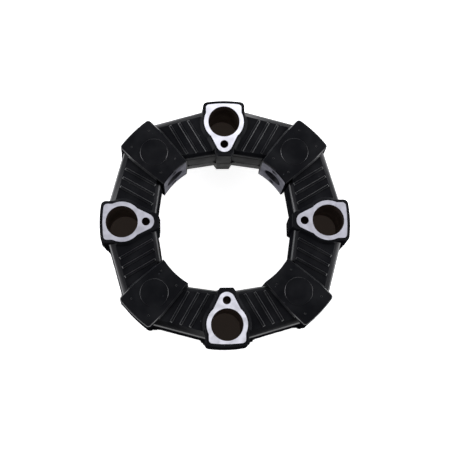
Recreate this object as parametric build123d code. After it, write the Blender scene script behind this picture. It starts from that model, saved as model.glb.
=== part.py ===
from build123d import *
from dataclasses import dataclass
import math
import os

# Elastic coupling ring for bolting between a flange and a hub: one rubber moulding
# with eight bonded aluminium inserts. Four axial inserts take bolts that run along
# the ring's axis, and four radial inserts take bolts that point at the ring's centre.
# The ring is the same above and below its parting plane.
#
# Frame: origin on the ring's axis at the lower end faces of the axial inserts, +Z up.
# Units: millimetres and degrees. Every outline is drawn at the +Y station, with x
# across the station and y outwards, and is then turned about the axis. Solids are
# built about the parting plane and lifted by half the height at the end.

# Ring
HEIGHT = 44.0                    # over the end faces of the axial inserts
BOLT_CIRCLE_R = 82.5
HUB_R = 57.8                     # hub that the radial inserts seat on
STATIONS = 4                     # axial stations, and as many radial ones between
STATION_STEP = 360 / STATIONS
RUBBER_SETBACK = 0.3             # rubber stands back from every clamped metal face
PANEL_DROP = 2.6                 # sunk flat top of each span, below the end faces
DRAFT = 2.0                      # mould draft of bosses and blocks

RUBBER_TOP = HEIGHT / 2 - RUBBER_SETBACK
PANEL_TOP = HEIGHT / 2 - PANEL_DROP
DRAFT_GROWTH = math.tan(math.radians(DRAFT)) * RUBBER_TOP
FAR = 3 * BOLT_CIRCLE_R          # well outside the ring

# Axial insert: head, bulge round the bore and tail round the pin hole
AXIAL_BORE_R = 12.75
AXIAL_PIN_R = 3.3
PIN_SPACING = 19.1               # from the bore inwards
END_WALL = 2.45                  # metal outside the bore
SIDE_WALL = 1.75
BULGE_WALL = 3.45
TAIL_WALL = 3.2
TAIL_ROOT = 12.2                 # the tail leaves the bulge this far inside the bore's centre
INSERT_CORNER_R = 2.8
NECK_FILLET_R = 2.0

PIN_CIRCLE_R = BOLT_CIRCLE_R - PIN_SPACING
INSERT_OUTER_R = BOLT_CIRCLE_R + AXIAL_BORE_R + END_WALL
INSERT_HALF_WIDTH = AXIAL_BORE_R + SIDE_WALL
BULGE_R = AXIAL_BORE_R + BULGE_WALL
TAIL_R = AXIAL_PIN_R + TAIL_WALL

# Rubber boss round an axial insert: width of its flat rim round the metal
END_RIM = 1.95
SIDE_RIM = 2.05
BULGE_RIM = 1.05
TAIL_RIM = 1.35
BOSS_CORNER_R = 3.5
BOSS_HOLLOW_R = 4.0
NOSE_REACH = 9.5                 # from the pin hole to the flat of the nose
NOSE_HALF_WIDTH = 5.0
NOSE_CHAMFER = (2.2, 3.2)        # across and along the station
BOSS_EDGE_BREAK = 0.5
BOSS_SLOPE = 45.0                # of the boss's foot on the panels, from upright

# Radial block, to the edges of its flat
BLOCK_REACH = 21.35              # from the bolt circle outwards
BLOCK_HALF_WIDTH = 15.9
BLOCK_SHOULDER = 5.5             # the sides converge from here inwards
BLOCK_INNER_HALF_WIDTH = 12.9
BLOCK_CORNER_R = 2.4
BLOCK_EDGE_BREAK = 0.6
BLOCK_SLOPE = 33.0               # of the block's foot on the panels, from upright

# Round mark left by the mould on a block's flat
PLUG_MARK_R = 11.2
PLUG_MARK_SHIFT = -2.0           # from the bolt circle
PLUG_MARK_HEIGHT = 0.25

# Radial insert
RADIAL_BORE_R = 8.5
RADIAL_PIN_R = 2.6
RADIAL_PIN_OFFSET = 14.5         # above and below the bore
RADIAL_PIN_DEPTH = 12.0
RADIAL_HALF_WIDTH = 12.6
RADIAL_COVER = 2.5               # rubber over and under the insert
RADIAL_EDGE_R = 1.6
SEAT_DEPTH = 1.9                 # bolt seat, inside the block's outer face
SEAT_WINDOW_R = 13.5             # opening in the rubber over the seat

BLOCK_FLAT_OUTER_R = BOLT_CIRCLE_R + BLOCK_REACH
BLOCK_OUTER_R = BLOCK_FLAT_OUTER_R + BLOCK_EDGE_BREAK
BLOCK_SHOULDER_Y = BOLT_CIRCLE_R + BLOCK_SHOULDER
RADIAL_SEAT_R = BLOCK_OUTER_R - SEAT_DEPTH
RADIAL_HALF_HEIGHT = RUBBER_TOP - RADIAL_COVER

# Long edges of a span between an axial and a radial station
OUTER_EDGE_ANGLE = 15.5          # of the edge's normal, from the axial station
INNER_EDGE_ANGLE = 8.6
OUTER_WALL_REACH = 12.85         # from the bolt circle outwards, at the parting plane
INNER_WALL_REACH = 3.1           # from the hub's face inwards
OUTER_CREASE_BACK = 6.0          # from the wall to the edge of the panel
INNER_CREASE_BACK = 4.5
WALL_DRAFT = 3.5
BEVEL_ANGLE = 45.0
SHOULDER_R = 5.0                 # the bevel runs into the wall through this radius
SPAN_END = 8.0                   # a span ends this far beside a block's centre line

# Raised ribs on each panel
RIBS_PER_PANEL = 3
RIB_ANGLE = 30.0                 # from the axial station's direction
FIRST_RIB_OFFSET = 16.8          # from a line at that angle through the ring's axis
RIB_PITCH = 7.45
RIB_WIDTH = 2.4
RIB_HEIGHT = 0.8
RIB_DRAFT = 38.0
RIB_END_GAP = 0.5                # between a rib's end and the panel's crease


@dataclass(frozen=True)
class SpanEdge:
    """One long edge of a span: a wall, a rounded shoulder and a bevel up to the panel."""

    normal_angle: float          # of the edge's normal, from the axial station
    wall_foot: float             # from the ring's axis, at the parting plane
    crease_back: float           # from the wall's foot to the panel's edge
    side: int                    # 1 faces outwards, -1 faces the hub

    @property
    def normal(self):
        """Unit vector square to the edge, pointing away from the ring's axis."""
        turn = math.radians(self.normal_angle)
        return math.sin(turn), math.cos(turn)

    @property
    def crease(self):
        """Distance of the panel's edge from the ring's axis."""
        return self.wall_foot - self.side * self.crease_back

    def corner(self):
        """How far back from the foot, and how high, the wall's and the bevel's lines meet."""
        lean = math.tan(math.radians(WALL_DRAFT))
        run = math.tan(math.radians(90 - BEVEL_ANGLE))
        height = (self.crease_back - run * PANEL_TOP) / (lean - run)
        return lean * height, height

    def slab(self):
        """All that lies behind this edge, with the bevel run on above the panel."""
        corner_back, corner_z = self.corner()
        run = math.tan(math.radians(90 - BEVEL_ANGLE))
        top_back = corner_back + run * (RUBBER_TOP - corner_z)
        backs = ((FAR, 0), (0, 0), (corner_back, corner_z), (top_back, RUBBER_TOP), (FAR, RUBBER_TOP))
        points = [(self.wall_foot - self.side * back, z) for back, z in backs]
        profile = make_face(Polyline(*points, close=True))
        shoulder = profile.vertices().sort_by_distance(points[2])[0]
        profile = fillet(shoulder, SHOULDER_R)
        nx, ny = self.normal
        upright = Plane(origin=(0, 0, 0), x_dir=(nx, ny, 0), z_dir=(ny, -nx, 0))
        return extrude(upright * profile, amount=FAR, both=True)

    def crossing(self, line):
        """Distance along a rib's line at which it crosses the panel's edge."""
        nx, ny = self.normal
        px, py = line.foot
        ux, uy = line.direction
        return (self.crease - nx * px - ny * py) / (nx * ux + ny * uy)


@dataclass(frozen=True)
class RibLine:
    """Straight line across a panel that a rib follows."""

    offset: float                # from the ring's axis

    @property
    def direction(self):
        """Unit vector along the rib, outwards."""
        turn = math.radians(RIB_ANGLE)
        return math.sin(turn), math.cos(turn)

    @property
    def foot(self):
        """The line's nearest point to the ring's axis."""
        ux, uy = self.direction
        return -uy * self.offset, ux * self.offset

    def point(self, distance):
        """The point at a distance along the line from its foot."""
        px, py = self.foot
        ux, uy = self.direction
        return px + ux * distance, py + uy * distance


OUTER_EDGE = SpanEdge(OUTER_EDGE_ANGLE, BOLT_CIRCLE_R + OUTER_WALL_REACH, OUTER_CREASE_BACK, 1)
INNER_EDGE = SpanEdge(INNER_EDGE_ANGLE, HUB_R - INNER_WALL_REACH, INNER_CREASE_BACK, -1)


# ---- shared operations --------------------------------------------------------------

def turned(shape, angle):
    """The shape turned about the ring's axis, clockwise seen from above."""
    return shape.rotate(Axis.Z, -angle)


def round_the_ring(shape, start=0.0):
    """The shape's copies at every station, from the start angle on."""
    return [turned(shape, start + STATION_STEP * i) for i in range(STATIONS)]


def lifted(shape):
    """The shape moved from the parting plane to the ring's own frame."""
    return Pos(0, 0, HEIGHT / 2) * shape


def disc(radius, y):
    """Round outline about a point on the station's centre line."""
    return Pos(0, y) * Circle(radius)


def mirrored_outline(right):
    """Closed outline from the points of its right half."""
    left = [(-x, y) for x, y in reversed(right)]
    return make_face(Polyline(*right, *left, close=True))


def rounded_outer_corners(outline, radius):
    """The outline with its two outermost corners rounded."""
    return fillet(outline.vertices().sort_by(Axis.Y)[-2:], radius)


def across_station(sketch, y):
    """Lays a sketch on a plane square to the station's centre line, facing outwards."""
    return Plane(origin=(0, y, 0), x_dir=(-1, 0, 0), z_dir=(0, 1, 0)) * sketch


def drafted(outline, edge_break):
    """Straight-topped boss or block from the parting plane up, before its edge is broken."""
    base = offset(outline, amount=edge_break + DRAFT_GROWTH, kind=Kind.INTERSECTION)
    return extrude(base, amount=RUBBER_TOP, taper=DRAFT)


def sloped(outline, slope):
    """What stands above panel level inside a slope that falls from the outline at the top."""
    rise = RUBBER_TOP - PANEL_TOP
    base = offset(outline, amount=rise * math.tan(math.radians(slope)), kind=Kind.INTERSECTION)
    return Pos(0, 0, PANEL_TOP) * extrude(base, amount=rise, taper=slope)


def head_and_bulge(half_width, outer_r, corner_r, bulge_r):
    """Straight-sided outer end, closed by an arc about the axis, and the bulge round the bore."""
    strip = Pos(0, BOLT_CIRCLE_R + FAR / 2) * Rectangle(2 * half_width, FAR)
    head = rounded_outer_corners(strip & Circle(outer_r), corner_r)
    return head + (disc(bulge_r, BOLT_CIRCLE_R) & Circle(outer_r - corner_r))


def tail(tail_r, bulge_r):
    """Straight flanks from the bulge round the bore to a round end about the pin hole."""
    root_x = math.sqrt(bulge_r ** 2 - TAIL_ROOT ** 2)
    root_y = BOLT_CIRCLE_R - TAIL_ROOT
    end = Pos(0, PIN_CIRCLE_R) * Edge.make_circle(tail_r)
    return make_hull([end, Edge.make_line((-root_x, root_y), (root_x, root_y))])


# ---- axial insert -------------------------------------------------------------------

def axial_insert_outline():
    """Head, bulge and tail, with the hollow corners between them rounded."""
    outline = tail(TAIL_R, BULGE_R) + head_and_bulge(
        INSERT_HALF_WIDTH, INSERT_OUTER_R, INSERT_CORNER_R, BULGE_R)
    neck_y = BOLT_CIRCLE_R + math.sqrt(BULGE_R ** 2 - INSERT_HALF_WIDTH ** 2)
    root_y = BOLT_CIRCLE_R - TAIL_ROOT
    corners = [v for v in outline.vertices()
               if min(abs(v.Y - neck_y), abs(v.Y - root_y)) < 0.05]
    return fillet(corners, NECK_FILLET_R)


def axial_insert():
    """Aluminium insert with its through bore and pin hole."""
    body = extrude(axial_insert_outline(), amount=HEIGHT / 2, both=True)
    bore = Pos(0, BOLT_CIRCLE_R) * Cylinder(AXIAL_BORE_R, HEIGHT)
    pin_hole = Pos(0, PIN_CIRCLE_R) * Cylinder(AXIAL_PIN_R, HEIGHT)
    return body - bore - pin_hole


# ---- radial insert ------------------------------------------------------------------

def radial_insert_envelope():
    """The insert without its holes."""
    section = RectangleRounded(2 * RADIAL_HALF_WIDTH, 2 * RADIAL_HALF_HEIGHT, RADIAL_EDGE_R)
    bar = extrude(across_station(section, 0), amount=RADIAL_SEAT_R)
    return bar - Cylinder(HUB_R, HEIGHT)


def radial_insert():
    """Aluminium insert with its bore, and pin holes above and below it."""
    body = radial_insert_envelope() - extrude(across_station(Circle(RADIAL_BORE_R), 0), amount=FAR)
    for side in (-1, 1):
        hole = Pos(0, side * RADIAL_PIN_OFFSET) * Circle(RADIAL_PIN_R)
        body -= extrude(across_station(hole, 0), amount=HUB_R + RADIAL_PIN_DEPTH)
    return body


# ---- rubber ring, upper half --------------------------------------------------------

def boss_outline():
    """Edge of the flat round an axial insert, with its hollow corners rounded."""
    across, along = NOSE_CHAMFER
    cheek_x = NOSE_HALF_WIDTH + across
    cheek_y = PIN_CIRCLE_R - NOSE_REACH + along
    nose = mirrored_outline([(NOSE_HALF_WIDTH, cheek_y - along), (cheek_x, cheek_y),
                             (cheek_x, PIN_CIRCLE_R)])
    half = INSERT_HALF_WIDTH + SIDE_RIM
    bulge_r = BULGE_R + BULGE_RIM
    head = head_and_bulge(half, INSERT_OUTER_R + END_RIM, BOSS_CORNER_R, bulge_r)
    outline = tail(TAIL_R + TAIL_RIM, bulge_r) + nose + head
    neck_y = BOLT_CIRCLE_R + math.sqrt(bulge_r ** 2 - half ** 2)
    root_y = BOLT_CIRCLE_R - TAIL_ROOT
    hollows = [v for v in outline.vertices()
               if min(abs(v.Y - neck_y), abs(v.Y - root_y)) < 0.05
               or (abs(abs(v.X) - cheek_x) < 0.05 and v.Y > cheek_y + 0.05)]
    return fillet(hollows, BOSS_HOLLOW_R)


def block_outline():
    """Edge of a radial block's flat, run on inside the hub's face."""
    slope = (BLOCK_HALF_WIDTH - BLOCK_INNER_HALF_WIDTH) / (BLOCK_SHOULDER_Y - HUB_R)
    start_y = HUB_R / 2
    start_half = BLOCK_HALF_WIDTH - slope * (BLOCK_SHOULDER_Y - start_y)
    sides = mirrored_outline([(start_half, start_y), (BLOCK_HALF_WIDTH, BLOCK_SHOULDER_Y),
                              (BLOCK_HALF_WIDTH, FAR)])
    return rounded_outer_corners(sides & Circle(BLOCK_FLAT_OUTER_R), BLOCK_CORNER_R)


def block():
    """Rubber round a radial insert, before its mark."""
    return drafted(block_outline(), BLOCK_EDGE_BREAK) - Cylinder(HUB_R + RUBBER_SETBACK, 2 * HEIGHT)


def plug_mark():
    """Raised disc on a block's flat."""
    outline = disc(PLUG_MARK_R, BOLT_CIRCLE_R + PLUG_MARK_SHIFT)
    return Pos(0, 0, RUBBER_TOP) * extrude(outline, amount=PLUG_MARK_HEIGHT, taper=45)


def span_with_bevels_run_on():
    """Span from the axial station's centre line to inside the block, up to the rubber's top."""
    turn = math.radians(STATION_STEP / 2)
    ux, uy = math.sin(turn), math.cos(turn)
    far_end = (FAR * ux - SPAN_END * uy, FAR * uy + SPAN_END * ux)
    sector = make_face(Polyline((0, SPAN_END / ux), (0, FAR), far_end, close=True))
    wedge = extrude(sector, amount=RUBBER_TOP)
    return wedge & OUTER_EDGE.slab() & INNER_EDGE.slab()


def ribs():
    """Raised ribs of one panel, each ending just short of the creases."""
    solids = []
    for number in range(RIBS_PER_PANEL):
        line = RibLine(FIRST_RIB_OFFSET - RIB_PITCH * number)
        start = INNER_EDGE.crossing(line) + RIB_END_GAP
        end = OUTER_EDGE.crossing(line) - RIB_END_GAP
        x, y = line.point((start + end) / 2)
        rib = extrude(Rectangle(end - start, RIB_WIDTH), amount=RIB_HEIGHT, taper=RIB_DRAFT)
        solids.append(Pos(x, y, PANEL_TOP) * Rot(0, 0, 90 - RIB_ANGLE) * rib)
    return solids


def rubber_upper_half():
    """Spans, bosses and blocks above the parting plane."""
    span = span_with_bevels_run_on()
    tall = round_the_ring(span) + round_the_ring(span.mirror(Plane.YZ))
    tall += round_the_ring(drafted(boss_outline(), BOSS_EDGE_BREAK))
    tall += round_the_ring(block(), STATION_STEP / 2)
    above_panels = extrude(Pos(0, 0, PANEL_TOP) * Circle(FAR), amount=RUBBER_TOP - PANEL_TOP)
    keep = round_the_ring(sloped(boss_outline(), BOSS_SLOPE))
    keep += round_the_ring(sloped(block_outline(), BLOCK_SLOPE), STATION_STEP / 2)
    body = tall[0].fuse(*tall[1:]).cut(above_panels.cut(*keep))
    panel_ribs = ribs()
    panel_ribs += [rib.mirror(Plane.YZ) for rib in panel_ribs]
    raised = [copy for rib in panel_ribs for copy in round_the_ring(rib)]
    raised += round_the_ring(plug_mark(), STATION_STEP / 2)
    return body.fuse(*raised)


def rubber_ring():
    """The whole moulding with its insert pockets and the windows over the bolt seats."""
    upper = rubber_upper_half()
    ring = upper.fuse(upper.mirror(Plane.XY))
    axial_pocket = extrude(axial_insert_outline(), amount=HEIGHT / 2, both=True)
    window = extrude(across_station(Circle(SEAT_WINDOW_R), RADIAL_SEAT_R), amount=FAR)
    cutters = round_the_ring(axial_pocket)
    cutters += round_the_ring(radial_insert_envelope(), STATION_STEP / 2)
    cutters += round_the_ring(window, STATION_STEP / 2)
    return ring.cut(*cutters)


def main():
    os.makedirs("parts", exist_ok=True)
    export_step(lifted(rubber_ring()), "parts/rubber_ring.step")
    for number, insert in enumerate(round_the_ring(axial_insert()), start=1):
        export_step(lifted(insert), f"parts/axial_insert_{number}.step")
    for number, insert in enumerate(round_the_ring(radial_insert(), STATION_STEP / 2), start=1):
        export_step(lifted(insert), f"parts/radial_insert_{number}.step")


main()
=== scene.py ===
"""Dresses the elastic coupling ring: black moulded rubber round eight aluminium inserts."""
from __future__ import annotations

import logging
import math
import random
from dataclasses import dataclass
from enum import Enum

import bmesh
import bpy
from mathutils import Matrix, Vector


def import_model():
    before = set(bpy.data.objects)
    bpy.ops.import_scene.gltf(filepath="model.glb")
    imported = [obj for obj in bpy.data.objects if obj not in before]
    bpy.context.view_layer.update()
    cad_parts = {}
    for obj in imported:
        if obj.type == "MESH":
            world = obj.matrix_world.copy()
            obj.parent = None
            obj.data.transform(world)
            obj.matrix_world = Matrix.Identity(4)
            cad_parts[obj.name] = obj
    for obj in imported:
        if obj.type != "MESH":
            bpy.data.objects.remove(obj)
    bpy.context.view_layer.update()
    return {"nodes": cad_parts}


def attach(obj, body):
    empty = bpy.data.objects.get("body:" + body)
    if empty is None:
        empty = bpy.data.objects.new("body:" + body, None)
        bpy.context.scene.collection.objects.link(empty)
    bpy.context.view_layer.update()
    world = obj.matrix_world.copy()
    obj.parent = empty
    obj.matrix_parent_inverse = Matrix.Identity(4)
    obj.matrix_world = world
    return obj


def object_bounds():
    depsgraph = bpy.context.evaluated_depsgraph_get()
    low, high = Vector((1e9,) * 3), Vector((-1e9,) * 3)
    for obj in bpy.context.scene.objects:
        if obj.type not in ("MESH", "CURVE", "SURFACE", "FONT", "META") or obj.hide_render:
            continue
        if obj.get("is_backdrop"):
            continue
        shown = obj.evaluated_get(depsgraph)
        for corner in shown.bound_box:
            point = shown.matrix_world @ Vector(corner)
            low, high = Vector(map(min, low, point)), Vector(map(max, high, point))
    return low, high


LOG = logging.getLogger("coupling_ring")
Colour = tuple[float, float, float]
Point = tuple[float, float, float]
MM = 0.001


class Slot(Enum):
    """Material slots of the record, one for each finish."""

    RUBBER = "moulded_rubber"
    MACHINED = "machined_aluminium"
    CAST = "cast_aluminium"


class Side(Enum):
    """Which way the free edge of a run along the parting line faces."""

    OUTER = 1
    HUB = -1


# ---- node helpers ---------------------------------------------------------------------


class Shader:
    """A new material and short ways to add and join its nodes."""

    def __init__(self, name: str) -> None:
        """Starts an empty material.

        Args:
            name: Name of the material.
        """
        self.material = bpy.data.materials.new(name)
        self.material.use_nodes = True
        self.tree = self.material.node_tree
        self.tree.nodes.clear()

    def add(self, kind: str, **settings: object) -> bpy.types.Node:
        """Adds a node.

        Args:
            kind: The node's type without its ShaderNode prefix.
            **settings: Attributes to set on the node.

        Returns:
            The new node.
        """
        node = self.tree.nodes.new("ShaderNode" + kind)
        for key, value in settings.items():
            setattr(node, key, value)
        return node

    def link(self, source: bpy.types.NodeSocket, target: bpy.types.NodeSocket) -> None:
        """Joins two sockets."""
        self.tree.links.new(source, target)

    def math(self, operation: str, *values: object) -> bpy.types.NodeSocket:
        """Adds a math node.

        Args:
            operation: The node's operation.
            *values: Numbers, or sockets to read.

        Returns:
            The result's socket.
        """
        node = self.add("Math", operation=operation)
        for socket, value in zip(node.inputs, values):
            if isinstance(value, bpy.types.NodeSocket):
                self.link(value, socket)
            else:
                socket.default_value = value
        return node.outputs[0]

    def object_coordinates(self) -> bpy.types.NodeSocket:
        """Returns the socket with places on the piece, in metres."""
        return self.add("TexCoord").outputs["Object"]

    def stretched(self, stretch: Point, turn: float = 0.0) -> bpy.types.NodeSocket:
        """Object coordinates turned about the axis and scaled.

        Args:
            stretch: Factor along each axis.
            turn: Turn about Z, in radians.

        Returns:
            The mapped coordinates' socket.
        """
        mapping = self.add("Mapping")
        mapping.inputs["Scale"].default_value = stretch
        mapping.inputs["Rotation"].default_value = (0.0, 0.0, turn)
        self.link(self.object_coordinates(), mapping.inputs["Vector"])
        return mapping.outputs[0]

    def noise(self, scale: float, detail: float = 2.0, vector: object = None) -> bpy.types.NodeSocket:
        """Adds a noise texture.

        Args:
            scale: Features for each metre.
            detail: Octaves.
            vector: Coordinates' socket, or None for the piece's own.

        Returns:
            The noise value's socket.
        """
        node = self.add("TexNoise")
        node.inputs["Scale"].default_value = scale
        node.inputs["Detail"].default_value = detail
        self.link(vector or self.object_coordinates(), node.inputs["Vector"])
        return node.outputs[0]

    def spread(self, value: bpy.types.NodeSocket, low: float, high: float,
               to_low: float = 0.0, to_high: float = 1.0) -> bpy.types.NodeSocket:
        """Maps a range of values smoothly onto another.

        Args:
            value: Socket to read.
            low: Value that gives to_low.
            high: Value that gives to_high.
            to_low: Result at and below low.
            to_high: Result at and above high.

        Returns:
            The result's socket.
        """
        node = self.add("MapRange", interpolation_type="SMOOTHSTEP")
        for name, number in (("From Min", low), ("From Max", high),
                             ("To Min", to_low), ("To Max", to_high)):
            node.inputs[name].default_value = number
        self.link(value, node.inputs["Value"])
        return node.outputs[0]

    def blend(self, factor: object, first: object, second: object) -> bpy.types.NodeSocket:
        """Mixes two colours.

        Args:
            factor: Number or socket, 0 for the first colour.
            first: Colour or socket.
            second: Colour or socket.

        Returns:
            The mixed colour's socket.
        """
        node = self.add("Mix", data_type="RGBA")
        for socket, value in ((node.inputs[0], factor), (node.inputs[6], first), (node.inputs[7], second)):
            if isinstance(value, bpy.types.NodeSocket):
                self.link(value, socket)
            elif isinstance(value, tuple):
                socket.default_value = (*value, 1.0)
            else:
                socket.default_value = value
        return node.outputs[2]

    def bump(self, height: bpy.types.NodeSocket, depth: float,
             under: bpy.types.NodeSocket | None = None) -> bpy.types.NodeSocket:
        """Adds a bump.

        Args:
            height: Socket with the relief, 0 to 1.
            depth: Depth of the relief, in metres.
            under: Normal of a bump that this one lies on.

        Returns:
            The normal's socket.
        """
        node = self.add("Bump")
        node.inputs["Distance"].default_value = depth
        self.link(height, node.inputs["Height"])
        if under is not None:
            self.link(under, node.inputs["Normal"])
        return node.outputs[0]

    def place(self) -> bpy.types.NodeOutputs:
        """Returns the X, Y and Z sockets of places on the piece, in metres."""
        split = self.add("SeparateXYZ")
        self.link(self.object_coordinates(), split.inputs[0])
        return split.outputs

    def farther_along(self, first: bpy.types.NodeSocket,
                      second: bpy.types.NodeSocket) -> bpy.types.NodeSocket:
        """Compares how far a place lies from the axis in two directions.

        Args:
            first: Coordinate along the first direction.
            second: Coordinate along the second direction.

        Returns:
            Socket that is 1 where the first is the greater of the two, and 0 elsewhere.
        """
        return self.math("GREATER_THAN", self.math("ABSOLUTE", first), self.math("ABSOLUTE", second))

    def facing_up(self) -> bpy.types.NodeSocket:
        """Returns how far the surface faces up or down, 0 to 1."""
        split = self.add("SeparateXYZ")
        self.link(self.add("NewGeometry").outputs["Normal"], split.inputs[0])
        return self.math("ABSOLUTE", split.outputs["Z"])

    def finish(self, surface: bpy.types.NodeSocket) -> bpy.types.Material:
        """Joins the surface to the output.

        Args:
            surface: The shader's socket.

        Returns:
            The finished material.
        """
        self.link(surface, self.add("OutputMaterial").inputs["Surface"])
        return self.material


# ---- finishes ------------------------------------------------------------------------


@dataclass(frozen=True)
class MouldedRubber:
    """Black moulded rubber, glossy on rounded edges and dull on flats and upright walls."""

    black: Colour = (0.0042, 0.0044, 0.0054)
    bloom: Colour = (0.0085, 0.0088, 0.0100)
    dust: Colour = (0.055, 0.058, 0.065)
    smooth: float = 0.30
    dull: float = 0.42
    flat_gloss: float = 0.07
    bevel_gloss: float = 0.03
    shoulder_gloss: float = 0.95
    mark_gloss: float = 0.55
    hub_wall_gloss: float = 0.018
    mark_height: float = 43.72 * MM
    hub_side: tuple[float, float] = (66.0 * MM, 74.0 * MM)
    specks_per_metre: float = 210.0
    wave_depth: float = 0.060 * MM
    grain_depth: float = 0.012 * MM

    def _colour(self, shader: Shader) -> bpy.types.NodeSocket:
        """Black with a cloudy bloom and a few specks of dust.

        Args:
            shader: The rubber's shader.

        Returns:
            The colour's socket.
        """
        cloud = shader.spread(shader.noise(45.0, 4.0), 0.35, 0.72)
        colour = shader.blend(cloud, self.black, self.bloom)
        specks = shader.add("TexVoronoi")
        specks.inputs["Scale"].default_value = self.specks_per_metre
        shader.link(shader.object_coordinates(), specks.inputs["Vector"])
        speck = shader.spread(specks.outputs["Distance"], 0.05, 0.09, 1.0, 0.0)
        rare = shader.spread(shader.noise(160.0, 0.0), 0.60, 0.66)
        return shader.blend(shader.math("MULTIPLY", speck, rare), colour, self.dust)

    def _gloss(self, shader: Shader) -> bpy.types.NodeSocket:
        """Gloss by the way the skin faces, with more on the hub's side and on the round marks.

        Args:
            shader: The rubber's shader.

        Returns:
            The gloss level's socket.
        """
        facing = shader.facing_up()
        place = shader.place()
        gloss = shader.spread(facing, 0.32, 0.56, 0.0, self.shoulder_gloss)
        onto_bevel = shader.spread(facing, 0.64, 0.70, 0.0, self.shoulder_gloss - self.bevel_gloss)
        onto_flat = shader.spread(facing, 0.80, 0.97, 0.0, self.bevel_gloss - self.flat_gloss)
        gloss = shader.math("SUBTRACT", shader.math("SUBTRACT", gloss, onto_bevel), onto_flat)
        from_axis = shader.add("VectorMath", operation="LENGTH")
        shader.link(shader.stretched((1.0, 1.0, 0.0)), from_axis.inputs[0])
        hub_side = shader.spread(from_axis.outputs["Value"], *self.hub_side, self.hub_wall_gloss, 0.0)
        hub_side = shader.math("MULTIPLY", hub_side, shader.farther_along(place["Y"], place["X"]))
        on_mark = shader.math("GREATER_THAN", place["Z"], self.mark_height)
        on_slope = shader.math("LESS_THAN", facing, 0.9)
        mark = shader.math("MULTIPLY", shader.math("MULTIPLY", on_mark, on_slope), self.mark_gloss)
        return shader.math("ADD", shader.math("ADD", gloss, hub_side), mark)

    def material(self) -> bpy.types.Material:
        """Builds the material.

        Returns:
            The rubber's material.
        """
        shader = Shader("MouldedRubber")
        body = shader.add("BsdfPrincipled")
        shader.link(self._colour(shader), body.inputs["Base Color"])
        wiped = shader.noise(90.0, 3.0)
        shader.link(shader.spread(wiped, 0.3, 0.7, self.smooth, self.dull), body.inputs["Roughness"])
        shader.link(self._gloss(shader), body.inputs["Specular IOR Level"])
        waves = shader.bump(shader.noise(260.0, 2.0), self.wave_depth)
        grain = shader.bump(shader.noise(1900.0, 2.0), self.grain_depth, waves)
        shader.link(grain, body.inputs["Normal"])
        return shader.finish(body.outputs[0])


@dataclass(frozen=True)
class MachinedAluminium:
    """Aluminium with bright end faces, and painted shade that darkens the end faces on the X stations and
    the bore walls.
    """

    bright: Colour = (0.93, 0.93, 0.99)
    worn: Colour = (0.86, 0.86, 0.93)
    # painted shade: multiplies the end faces on the X stations darker
    x_station_painted_shade: Colour = (0.62, 0.62, 0.64)
    # painted shade: the dark brownish colours of the bore walls
    bore_painted_shade_dark: Colour = (0.16, 0.13, 0.115)
    bore_painted_shade_pale: Colour = (0.30, 0.26, 0.24)
    face_roughness: float = 0.58
    bore_roughness: float = 0.36
    roughness_spread: float = 0.05
    lathe_depth: float = 0.010 * MM

    def material(self) -> bpy.types.Material:
        """Builds the material.

        Returns:
            The material of the axial inserts.
        """
        shader = Shader("MachinedAluminium")
        face = shader.spread(shader.facing_up(), 0.6, 0.9)
        patches = shader.spread(shader.noise(38.0, 3.0), 0.38, 0.68)
        plate = shader.blend(patches, self.bright, self.worn)
        place = shader.place()
        # Painted shade: the end faces on the X stations are multiplied darker than those on the Y
        # stations.
        x_station_shading = shader.add("Mix", data_type="RGBA", blend_type="MULTIPLY")
        shader.link(shader.farther_along(place["X"], place["Y"]), x_station_shading.inputs[0])
        shader.link(plate, x_station_shading.inputs[6])
        x_station_shading.inputs[7].default_value = (*self.x_station_painted_shade, 1.0)
        plate = x_station_shading.outputs[2]
        # Painted shade: the bore walls get a dark brownish colour instead of the end faces' bright one.
        streak = shader.spread(shader.noise(70.0, 3.0), 0.35, 0.65)
        shaded_bore_wall = shader.blend(streak, self.bore_painted_shade_dark, self.bore_painted_shade_pale)
        body = shader.add("BsdfPrincipled")
        body.inputs["Metallic"].default_value = 1.0
        shader.link(shader.blend(face, shaded_bore_wall, plate), body.inputs["Base Color"])
        rough = shader.add("Mix", data_type="FLOAT")
        shader.link(face, rough.inputs[0])
        rough.inputs[2].default_value = self.bore_roughness
        shader.link(shader.spread(shader.noise(240.0, 2.0), 0.3, 0.7,
                                  self.face_roughness - self.roughness_spread,
                                  self.face_roughness + self.roughness_spread), rough.inputs[3])
        shader.link(rough.outputs[0], body.inputs["Roughness"])
        lathe = shader.noise(1.0, 2.0, shader.stretched((1500.0, 1500.0, 260.0)))
        shader.link(shader.bump(lathe, self.lathe_depth), body.inputs["Normal"])
        return shader.finish(body.outputs[0])


@dataclass(frozen=True)
class CastAluminium:
    """Plain grey aluminium of the radial inserts, bored for the hub."""

    grey: Colour = (0.25, 0.25, 0.275)
    dark: Colour = (0.13, 0.13, 0.145)
    glancing: Colour = (0.30, 0.30, 0.32)
    roughness: float = 0.42
    turning_depth: float = 0.014 * MM

    def material(self) -> bpy.types.Material:
        """Builds the material.

        Returns:
            The material of the radial inserts.
        """
        shader = Shader("CastAluminium")
        patches = shader.spread(shader.noise(85.0, 4.0), 0.34, 0.68)
        body = shader.add("BsdfPrincipled")
        body.inputs["Metallic"].default_value = 1.0
        shader.link(shader.blend(patches, self.grey, self.dark), body.inputs["Base Color"])
        body.inputs["Specular Tint"].default_value = (*self.glancing, 1.0)
        shader.link(shader.spread(shader.noise(200.0, 2.0), 0.3, 0.7, self.roughness - 0.06,
                                  self.roughness + 0.08), body.inputs["Roughness"])
        turned = shader.noise(1.0, 2.0, shader.stretched((240.0, 240.0, 1800.0)))
        shader.link(shader.bump(turned, self.turning_depth), body.inputs["Normal"])
        return shader.finish(body.outputs[0])


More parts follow.
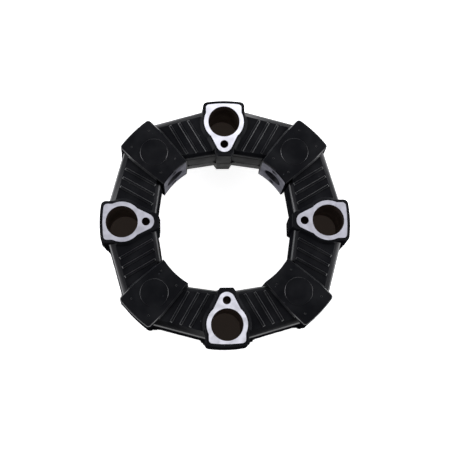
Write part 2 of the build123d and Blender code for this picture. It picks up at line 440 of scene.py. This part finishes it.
@dataclass(frozen=True)
class PitShade:
    """Deep shade at the bottom of a small mould mark."""

    black: Colour = (0.0012, 0.0012, 0.0014)
    grey: Colour = (0.003, 0.003, 0.003)

    def material(self) -> bpy.types.Material:
        """Builds the material.

        Returns:
            The material of the marks' bottoms.
        """
        shader = Shader("PitShade")
        body = shader.add("BsdfPrincipled")
        colour = shader.blend(shader.noise(900.0, 1.0), self.black, self.grey)
        shader.link(colour, body.inputs["Base Color"])
        body.inputs["Roughness"].default_value = 0.9
        body.inputs["Specular IOR Level"].default_value = 0.1
        return shader.finish(body.outputs[0])


@dataclass(frozen=True)
class StudioFloor:
    """White floor that shows white to the camera and in gloss, with painted shade in dark spots under the
    bores and pin holes.
    """

    white: Colour = (0.80, 0.80, 0.80)
    # painted shade: colour of the floor in the spots under the bores and pin holes
    painted_shade_under_bores: Colour = (0.085, 0.064, 0.052)
    glow: float = 0.90
    # painted shade: the dim glow in the spots under the bores and pin holes
    painted_shade_glow: Colour = (0.0150, 0.0118, 0.0100)
    bolt_circle: float = 82.5 * MM
    pin_circle: float = 63.4 * MM
    bore_shade_radius: float = 14.5 * MM
    pin_shade_radius: float = 4.6 * MM

    def _near(self, shader: Shader, across: bpy.types.NodeSocket, out: bpy.types.NodeSocket,
              station: float, radius: float) -> bpy.types.NodeSocket:
        """Mask of a round spot of painted shade at every axial station.

        Args:
            shader: The floor's shader.
            across: Distance across the nearest station's centre line.
            out: Distance out along that line.
            station: Distance of the spot's centre from the ring's axis.
            radius: The spot's radius.

        Returns:
            Socket that is 1 inside the spot and 0 outside it.
        """
        away = shader.math("SUBTRACT", out, station)
        square = shader.math("ADD", shader.math("MULTIPLY", across, across),
                             shader.math("MULTIPLY", away, away))
        return shader.math("LESS_THAN", square, radius * radius)

    def material(self) -> bpy.types.Material:
        """Builds the material.

        Returns:
            The floor's material.
        """
        shader = Shader("StudioFloor")
        place = shader.place()
        x = shader.math("ABSOLUTE", place["X"])
        y = shader.math("ABSOLUTE", place["Y"])
        across = shader.math("MINIMUM", x, y)
        out = shader.math("MAXIMUM", x, y)
        # Painted shade: round dark spots under the bores and pin holes, in the floor's colour and in its
        # glow.
        spot = shader.math("MAXIMUM", self._near(shader, across, out, self.bolt_circle, self.bore_shade_radius),
                           self._near(shader, across, out, self.pin_circle, self.pin_shade_radius))
        diffuse = shader.add("BsdfDiffuse")
        shader.link(shader.blend(spot, self.white, self.painted_shade_under_bores), diffuse.inputs["Color"])
        rays = shader.add("LightPath").outputs
        seen = shader.math("MAXIMUM", shader.math("MAXIMUM", rays["Is Camera Ray"], rays["Is Glossy Ray"]),
                           rays["Is Transmission Ray"])
        glow = shader.add("Emission")
        around = (self.glow, self.glow, self.glow)
        shader.link(shader.blend(spot, around, self.painted_shade_glow), glow.inputs["Color"])
        shader.link(seen, glow.inputs["Strength"])
        both = shader.add("AddShader")
        shader.link(diffuse.outputs[0], both.inputs[0])
        shader.link(glow.outputs[0], both.inputs[1])
        return shader.finish(both.outputs[0])


# ---- mesh helpers --------------------------------------------------------------------


def mesh_object(name: str, mesh: bpy.types.Mesh) -> bpy.types.Object:
    """Links a new object for a mesh.

    Args:
        name: Name of the object.
        mesh: Its mesh.

    Returns:
        The object.
    """
    made = bpy.data.objects.new(name, mesh)
    bpy.context.scene.collection.objects.link(made)
    return made


def ride(piece: bpy.types.Object) -> None:
    """Fixes a new piece to the ring's body."""
    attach(piece, "root")


def evaluated_piece(source: bpy.types.Object, name: str) -> bpy.types.Object:
    """Turns an object with Geometry Nodes into a plain mesh object.

    Args:
        source: Object that carries the modifier. It is removed.
        name: Name of the new object.

    Returns:
        The plain mesh object.
    """
    graph = bpy.context.evaluated_depsgraph_get()
    mesh = bpy.data.meshes.new_from_object(source.evaluated_get(graph))
    bpy.data.objects.remove(source)
    mesh.name = name
    return mesh_object(name, mesh)


def soften(node: bpy.types.Object, angle: float = 32.0) -> None:
    """Shades a solid's round faces smooth and keeps its edges sharp.

    Args:
        node: Object of the solid.
        angle: Largest angle between faces that shade as one, in degrees.
    """
    weld = node.modifiers.new("Weld", "WELD")
    weld.merge_threshold = 0.000002
    split = node.modifiers.new("Edges", "EDGE_SPLIT")
    split.split_angle = math.radians(angle)
    split.use_edge_sharp = False
    node.data.polygons.foreach_set("use_smooth", [True] * len(node.data.polygons))


class Nodes:
    """A Geometry Nodes tree with named inputs, and short ways to build it."""

    def __init__(self, name: str) -> None:
        """Starts a tree with a geometry input and output.

        Args:
            name: Name of the tree.
        """
        self.tree = bpy.data.node_groups.new(name, "GeometryNodeTree")
        self.socket_ids: dict[str, str] = {}
        self.tree.interface.new_socket("Geometry", in_out="INPUT", socket_type="NodeSocketGeometry")
        self.tree.interface.new_socket("Geometry", in_out="OUTPUT", socket_type="NodeSocketGeometry")
        self.entry = self.tree.nodes.new("NodeGroupInput")
        self.exit = self.tree.nodes.new("NodeGroupOutput")

    def value_input(self, name: str, kind: str = "NodeSocketFloat") -> None:
        """Adds a named input to the tree."""
        self.socket_ids[name] = self.tree.interface.new_socket(
            name, in_out="INPUT", socket_type=kind).identifier

    def read(self, name: str) -> bpy.types.NodeSocket:
        """Returns the socket of a named input."""
        return self.entry.outputs[name]

    def add(self, kind: str, inputs: dict[object, object] | None = None,
            **settings: object) -> bpy.types.Node:
        """Adds a node.

        Args:
            kind: The node's full type.
            inputs: Numbers or sockets for its inputs, by name or index.
            **settings: Attributes to set on the node.

        Returns:
            The new node.
        """
        node = self.tree.nodes.new(kind)
        for key, value in settings.items():
            setattr(node, key, value)
        for key, value in (inputs or {}).items():
            if isinstance(value, bpy.types.NodeSocket):
                self.tree.links.new(value, node.inputs[key])
            else:
                node.inputs[key].default_value = value
        return node

    def math(self, operation: str, *values: object) -> bpy.types.NodeSocket:
        """Adds a math node and returns its result."""
        return self.add("ShaderNodeMath", dict(enumerate(values)), operation=operation).outputs[0]

    def run(self, carrier: bpy.types.Object, name: str, result: bpy.types.NodeSocket,
            values: dict[str, object]) -> bpy.types.Object:
        """Closes the tree and runs it.

        Args:
            carrier: Object whose geometry enters the tree. It is removed.
            name: Name of the new piece.
            result: Socket with the result's geometry.
            values: Values of the named inputs.

        Returns:
            The plain mesh object.
        """
        self.tree.links.new(result, self.exit.inputs[0])
        modifier = carrier.modifiers.new(self.tree.name, "NODES")
        modifier.node_group = self.tree
        for key, value in values.items():
            modifier[self.socket_ids[key]] = value
        return evaluated_piece(carrier, name)


# ---- parting line --------------------------------------------------------------------


@dataclass
class Run:
    """Free edge of the rubber at the parting plane, from one radial insert to the next."""

    side: Side
    points: list[Vector]

    def resampled(self, step: float) -> list[Vector]:
        """Points at an even spacing along the run.

        Args:
            step: Spacing, in metres.

        Returns:
            The points.
        """
        lengths = [0.0]
        for first, second in zip(self.points, self.points[1:]):
            lengths.append(lengths[-1] + (second - first).length)
        even, place = [], 0
        for number in range(int(lengths[-1] / step) + 1):
            target = number * step
            while place < len(lengths) - 2 and lengths[place + 1] < target:
                place += 1
            span = max(lengths[place + 1] - lengths[place], 1e-9)
            even.append(self.points[place].lerp(self.points[place + 1], (target - lengths[place]) / span))
        return even


@dataclass
class PartingLine:
    """Outline of the rubber at mid-height, where the mould's halves met."""

    height: float = 22.0 * MM
    insert_half_width: float = 13.7 * MM
    pocket_size: float = 60.0 * MM

    def _loops(self, node: bpy.types.Object) -> list[list[Vector]]:
        """Closed outlines of the rubber just above the parting plane.

        Args:
            node: The rubber's solid.

        Returns:
            The points of each outline, in order.
        """
        work = bmesh.new()
        work.from_mesh(node.data)
        bmesh.ops.remove_doubles(work, verts=work.verts, dist=0.000002)
        cut = bmesh.ops.bisect_plane(work, geom=[*work.verts, *work.edges, *work.faces], dist=1e-7,
                                     plane_co=(0, 0, self.height + 0.01 * MM), plane_no=(0, 0, 1))
        work.verts.index_update()
        edges = [e for e in cut["geom_cut"] if isinstance(e, bmesh.types.BMEdge)]
        beside: dict[int, list[int]] = {}
        place: dict[int, Vector] = {}
        for edge in edges:
            first, second = edge.verts
            for vert, other in ((first, second), (second, first)):
                place[vert.index] = vert.co.copy()
                beside.setdefault(vert.index, []).append(other.index)
        loops, used = [], set()
        for start in place:
            if start in used:
                continue
            loop, here, last = [], start, None
            while here is not None and here not in used:
                used.add(here)
                loop.append(place[here])
                onward = [k for k in beside[here] if k != last and k not in used]
                last, here = here, (onward[0] if onward else None)
            loops.append(loop)
        work.free()
        return loops

    @staticmethod
    def _area(loop: list[Vector]) -> float:
        """Signed area of an outline, positive where it runs anticlockwise."""
        return sum(a.x * b.y - b.x * a.y for a, b in zip(loop, loop[1:] + loop[:1])) / 2

    def runs(self, node: bpy.types.Object) -> list[Run]:
        """Free edges between the radial inserts, each with the rubber on its left.

        Args:
            node: The rubber's solid.

        Returns:
            The runs on the outside and on the hub's side.
        """
        found = []
        for loop in self._loops(node):
            width = max(p.x for p in loop) - min(p.x for p in loop)
            depth = max(p.y for p in loop) - min(p.y for p in loop)
            if max(width, depth) < self.pocket_size:
                continue
            if self._area(loop) < 0:
                loop = loop[::-1]
            free = [abs(abs(p.x) - abs(p.y)) / math.sqrt(2) > self.insert_half_width for p in loop]
            start = next(i for i in range(len(loop)) if free[i] and not free[i - 1])
            order = [(start + i) % len(loop) for i in range(len(loop))]
            current: list[Vector] = []
            for index in order + [order[-1]]:
                if free[index] and index != order[-1]:
                    current.append(Vector((loop[index].x, loop[index].y, self.height)))
                elif len(current) > 3:
                    reach = max(p.length for p in current)
                    side = Side.OUTER if reach > 0.09 else Side.HUB
                    found.append(Run(side, current))
                    current = []
                else:
                    current = []
        return found


@dataclass
class Flash:
    """Thin rubber left along the parting line, and in the hollow corners beside the bosses."""

    spacing: float = 0.45 * MM
    reach: float = 0.62 * MM
    flatness: float = 0.30
    web_thickness: float = 0.45 * MM
    web_sizes: tuple[float, float] = (5.0 * MM, 6.6 * MM)
    seed: int = 7

    def _fin(self, runs: list[Run], finish: bpy.types.Material) -> bpy.types.Object:
        """Ragged fin along every run.

        Args:
            runs: Free edges at the parting plane.
            finish: The rubber's material.

        Returns:
            The fin.
        """
        curve = bpy.data.curves.new("PartingFlashPath", "CURVE")
        curve.dimensions = "3D"
        for run in runs:
            spline = curve.splines.new("POLY")
            spline.points.add(len(run.points) - 1)
            for point, place in zip(spline.points, run.points):
                point.co = (*place, 1.0)
        carrier = bpy.data.objects.new("PartingFlashPath", curve)
        bpy.context.scene.collection.objects.link(carrier)

        nodes = Nodes("PartingFlash")
        for name in ("Spacing", "Reach", "Flatness"):
            nodes.value_input(name)
        nodes.value_input("Seed", "NodeSocketInt")
        nodes.value_input("Finish", "NodeSocketMaterial")
        path = nodes.add("GeometryNodeResampleCurve",
                         {"Curve": nodes.read("Geometry"), "Length": nodes.read("Spacing")}, mode="LENGTH")
        upright = nodes.add("GeometryNodeSetCurveNormal", {"Curve": path.outputs[0]}, mode="Z_UP")
        coarse = nodes.add("ShaderNodeTexNoise", {"Scale": 170.0, "Detail": 1.0})
        jag = nodes.add("FunctionNodeRandomValue", {"Seed": nodes.read("Seed")}, data_type="FLOAT")
        tall = nodes.math("POWER", coarse.outputs[0], 2.2)
        ragged = nodes.math("MULTIPLY", tall, nodes.math("ADD", jag.outputs[1], 0.35))
        width = nodes.math("MULTIPLY", nodes.math("ADD", nodes.math("MULTIPLY", ragged, 2.6), 0.22),
                           nodes.read("Reach"))
        profile = nodes.add("GeometryNodeCurvePrimitiveCircle", {"Resolution": 3, "Radius": 1.0})
        flat = nodes.add("ShaderNodeCombineXYZ", {"X": nodes.read("Flatness"), "Y": 1.0, "Z": 1.0})
        thin = nodes.add("GeometryNodeTransform",
                         {"Geometry": profile.outputs[0], "Scale": flat.outputs[0]})
        fin = nodes.add("GeometryNodeCurveToMesh", {"Curve": upright.outputs[0],
                                                    "Profile Curve": thin.outputs[0], "Scale": width,
                                                    "Fill Caps": True})
        painted = nodes.add("GeometryNodeSetMaterial",
                            {"Geometry": fin.outputs[0], "Material": nodes.read("Finish")})
        return nodes.run(carrier, "parting_flash", painted.outputs[0],
                         {"Spacing": self.spacing, "Reach": self.reach, "Flatness": self.flatness,
                          "Seed": self.seed, "Finish": finish})

    def _corners(self, run: Run, step: float) -> list[tuple[list[Vector], int]]:
        """Hollow corners of a run.

        Args:
            run: Free edge at the parting plane.
            step: Spacing at which the edge is looked at.

        Returns:
            The evenly spaced points and the index of each hollow corner.
        """
        points = run.resampled(step)
        reach = int(1.2 * MM / step)
        turns = []
        for i in range(reach, len(points) - reach):
            before = points[i] - points[i - reach]
            after = points[i + reach] - points[i]
            turns.append((math.atan2(before.cross(after).z, before.dot(after)), i))
        corners = []
        for turn, index in sorted(turns):
            if turn < -math.radians(32) and all(abs(index - other) * step > 6 * MM for other in corners):
                corners.append(index)
        return [(points, index) for index in corners]

    def _webs(self, runs: list[Run], finish: bpy.types.Material) -> bpy.types.Object:
        """Torn webs in the hollow corners.

        Args:
            runs: Free edges at the parting plane.
            finish: The rubber's material.

        Returns:
            One object with every web.
        """
        chance = random.Random(self.seed)
        step = 0.25 * MM
        work = bmesh.new()
        for run in runs:
            share = 1.0 if run.side is Side.OUTER else 0.55
            for points, index in self._corners(run, step):
                sizes = [int(share * chance.uniform(0.75, 1.1) * size / step) for size in self.web_sizes]
                back = max(0, index - sizes[0])
                ahead = min(len(points) - 1, index + sizes[1])
                edge = points[back:ahead + 1]
                torn = [edge[-1].lerp(edge[0], (k + chance.uniform(-0.3, 0.3)) / 9) for k in range(1, 9)]
                corner = points[index]
                torn = [p + (p - corner) * chance.uniform(-0.22, 0.12) for p in torn]
                outline = edge[::3] + [edge[-1]] + torn
                verts = [work.verts.new(p - Vector((0, 0, self.web_thickness / 2))) for p in outline]
                face = work.faces.new(verts)
                raised = bmesh.ops.extrude_face_region(work, geom=[face])
                top = [v for v in raised["geom"] if isinstance(v, bmesh.types.BMVert)]
                bmesh.ops.translate(work, verts=top, vec=(0, 0, self.web_thickness))
        bmesh.ops.remove_doubles(work, verts=work.verts, dist=1e-6)
        bmesh.ops.recalc_face_normals(work, faces=work.faces)
        mesh = bpy.data.meshes.new("corner_webs")
        work.to_mesh(mesh)
        work.free()
        mesh.materials.append(finish)
        return mesh_object("corner_webs", mesh)

    def build(self, rubber: bpy.types.Object, finish: bpy.types.Material) -> list[bpy.types.Object]:
        """Makes the flash of the whole ring.

        Args:
            rubber: The rubber's solid.
            finish: The rubber's material.

        Returns:
            The new pieces.
        """
        runs = PartingLine().runs(rubber)
        LOG.info("parting line: %d free runs", len(runs))
        return [self._fin(runs, finish), self._webs(runs, finish)]


@dataclass
class MouldMarks:
    """Small round pits that the mould's pins left in the flats of the radial blocks."""

    bolt_circle: float = 82.5 * MM
    flat_height: float = 43.7 * MM
    lower_height: float = 0.3 * MM
    pit_radius: float = 0.62 * MM
    lip_radius: float = 0.16 * MM
    places: tuple[tuple[float, float], ...] = ((8.2 * MM, -18.1 * MM), (9.6 * MM, 13.7 * MM))

    def _points(self) -> list[Vector]:
        """Centres of the marks on both flats of every block."""
        found = []
        for quarter in range(4):
            turn = Matrix.Rotation(-math.radians(45 + 90 * quarter), 3, "Z")
            for x, y in self.places:
                for side in (-1, 1):
                    for z in (self.flat_height, self.lower_height):
                        found.append(turn @ Vector((side * x, self.bolt_circle + y, z)))
        return found

    def build(self, rubber: bpy.types.Material, shade: bpy.types.Material) -> bpy.types.Object:
        """Makes every mark.

        Args:
            rubber: Material of the marks' lips.
            shade: Material of the marks' bottoms.

        Returns:
            One object with every mark.
        """
        mesh = bpy.data.meshes.new("MouldMarkPlaces")
        mesh.from_pydata(self._points(), [], [])
        carrier = mesh_object("MouldMarkPlaces", mesh)
        nodes = Nodes("MouldMarks")
        nodes.value_input("Pit Radius")
        nodes.value_input("Lip Radius")
        nodes.value_input("Rubber", "NodeSocketMaterial")
        nodes.value_input("Shade", "NodeSocketMaterial")
        depth = nodes.math("MULTIPLY", nodes.read("Lip Radius"), 0.5)
        pit = nodes.add("GeometryNodeMeshCylinder",
                        {"Vertices": 14, "Radius": nodes.read("Pit Radius"), "Depth": depth})
        dark = nodes.add("GeometryNodeSetMaterial",
                         {"Geometry": pit.outputs[0], "Material": nodes.read("Shade")})
        ring = nodes.add("GeometryNodeCurvePrimitiveCircle",
                         {"Resolution": 14, "Radius": nodes.read("Pit Radius")})
        bead = nodes.add("GeometryNodeCurvePrimitiveCircle",
                         {"Resolution": 6, "Radius": nodes.read("Lip Radius")})
        lip = nodes.add("GeometryNodeCurveToMesh",
                        {"Curve": ring.outputs[0], "Profile Curve": bead.outputs[0]})
        rim = nodes.add("GeometryNodeSetMaterial",
                        {"Geometry": lip.outputs[0], "Material": nodes.read("Rubber")})
        mark = nodes.add("GeometryNodeJoinGeometry")
        nodes.tree.links.new(dark.outputs[0], mark.inputs[0])
        nodes.tree.links.new(rim.outputs[0], mark.inputs[0])
        spread = nodes.add("GeometryNodeInstanceOnPoints",
                           {"Points": nodes.read("Geometry"), "Instance": mark.outputs[0]})
        real = nodes.add("GeometryNodeRealizeInstances", {"Geometry": spread.outputs[0]})
        return nodes.run(carrier, "mould_marks", real.outputs[0],
                         {"Pit Radius": self.pit_radius, "Lip Radius": self.lip_radius,
                          "Rubber": rubber, "Shade": shade})


# ---- sub-assemblies ------------------------------------------------------------------


@dataclass
class RubberRing:
    """The rubber moulding with its flash and mould marks."""

    node: bpy.types.Object

    def dress(self) -> list[bpy.types.Object]:
        """Gives the moulding its finish and adds what the mould left on it.

        Returns:
            The new pieces.
        """
        finish = MouldedRubber().material()
        pieces = [*Flash().build(self.node, finish), MouldMarks().build(finish, PitShade().material())]
        paint(self.node, finish)
        soften(self.node)
        for piece in pieces:
            ride(piece)
        return pieces


@dataclass
class Inserts:
    """Aluminium inserts of one kind."""

    nodes: list[bpy.types.Object]
    finish: MachinedAluminium | CastAluminium

    def dress(self) -> None:
        """Gives every insert its finish."""
        metal = self.finish.material()
        for node in self.nodes:
            paint(node, metal)
            soften(node)


def paint(node: bpy.types.Object, finish: bpy.types.Material) -> None:
    """Puts a material in every slot of a solid."""
    if not node.material_slots:
        node.data.materials.append(finish)
    for place in node.material_slots:
        place.material = finish


# ---- studio --------------------------------------------------------------------------


@dataclass(frozen=True)
class SoftBox:
    """Rectangular lamp aimed at the ring."""

    name: str
    place: Point
    size: tuple[float, float]
    power: float
    colour: Colour = (1.0, 1.0, 1.0)

    def build(self, target: Vector) -> None:
        """Adds the lamp.

        Args:
            target: Point it is aimed at.
        """
        lamp = bpy.data.lights.new(self.name, "AREA")
        lamp.shape = "RECTANGLE"
        lamp.size, lamp.size_y = self.size
        lamp.energy = self.power
        lamp.color = self.colour
        holder = bpy.data.objects.new(self.name, lamp)
        holder.location = self.place
        aim = target - Vector(self.place)
        holder.rotation_euler = aim.to_track_quat("-Z", "Y").to_euler()
        bpy.context.scene.collection.objects.link(holder)


@dataclass(frozen=True)
class Studio:
    """Floor, lamps, surroundings and camera."""

    camera_place: Point = (-32.63 * MM, -138.30 * MM, 753.35 * MM)
    camera_turn: Point = (-0.188058, 0.0435649, 0.0119599)
    lens: float = 72.58
    floor_size: float = 6.0
    ambient: float = 0.13
    lamps: tuple[SoftBox, ...] = (
        SoftBox("EastSoftBox", (1.00, 0.10, 0.42), (0.9, 0.7), 17.0, (0.97, 0.97, 1.0)),
        SoftBox("WestSoftBox", (-1.00, 0.10, 0.42), (0.9, 0.7), 15.0, (0.96, 0.96, 1.0)),
        SoftBox("NorthSoftBox", (0.0, 1.05, 0.50), (0.9, 0.6), 13.0, (0.98, 0.98, 1.0)),
    )

    def _camera(self) -> None:
        """Adds the camera."""
        data = bpy.data.cameras.new("Camera")
        data.sensor_width = 36.0
        data.lens = self.lens
        data.clip_start = 0.01
        holder = bpy.data.objects.new("Camera", data)
        turn = Vector(self.camera_turn)
        seen = Matrix.Rotation(turn.length, 3, turn.normalized())
        holder.matrix_world = Matrix.Translation(self.camera_place) @ seen.transposed().to_4x4()
        bpy.context.scene.collection.objects.link(holder)
        bpy.context.scene.camera = holder

    def _floor(self) -> None:
        """Adds the floor under the ring."""
        work = bmesh.new()
        bmesh.ops.create_grid(work, x_segments=1, y_segments=1, size=self.floor_size)
        mesh = bpy.data.meshes.new("floor")
        work.to_mesh(mesh)
        work.free()
        mesh.materials.append(StudioFloor().material())
        mesh_object("floor", mesh)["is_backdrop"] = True

    def _world(self) -> None:
        """Dim surroundings that show white to the camera."""
        world = bpy.data.worlds.new("Surroundings")
        world.use_nodes = True
        tree = world.node_tree
        tree.nodes.clear()
        dim = tree.nodes.new("ShaderNodeBackground")
        dim.inputs["Color"].default_value = (0.96, 0.97, 1.0, 1.0)
        dim.inputs["Strength"].default_value = self.ambient
        white = tree.nodes.new("ShaderNodeBackground")
        white.inputs["Strength"].default_value = 1.0
        white.inputs["Color"].default_value = (1.0, 1.0, 1.0, 1.0)
        rays = tree.nodes.new("ShaderNodeLightPath")
        mix = tree.nodes.new("ShaderNodeMixShader")
        out = tree.nodes.new("ShaderNodeOutputWorld")
        tree.links.new(rays.outputs["Is Camera Ray"], mix.inputs[0])
        tree.links.new(dim.outputs[0], mix.inputs[1])
        tree.links.new(white.outputs[0], mix.inputs[2])
        tree.links.new(mix.outputs[0], out.inputs[0])
        bpy.context.scene.world = world

    def build(self) -> None:
        """Sets up the whole studio."""
        low, high = (Vector(corner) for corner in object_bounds())
        target = (low + high) / 2
        self._camera()
        self._floor()
        self._world()
        for lamp in self.lamps:
            lamp.build(target)
        bpy.context.scene.view_settings.view_transform = "Standard"


def main() -> None:
    """Loads the solids, dresses them and sets up the studio."""
    logging.basicConfig(level=logging.INFO, format="%(name)s: %(message)s")
    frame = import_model()
    nodes = frame["nodes"]
    for piece in RubberRing(nodes["rubber_ring"]).dress():
        LOG.info("rubber ring: %s, %d faces", piece.name, len(piece.data.polygons))
    axial = [node for name, node in sorted(nodes.items()) if name.startswith("axial_insert")]
    radial = [node for name, node in sorted(nodes.items()) if name.startswith("radial_insert")]
    Inserts(axial, MachinedAluminium()).dress()
    LOG.info("axial inserts: %d", len(axial))
    Inserts(radial, CastAluminium()).dress()
    LOG.info("radial inserts: %d", len(radial))
    Studio().build()


if __name__ == "__main__":
    main()
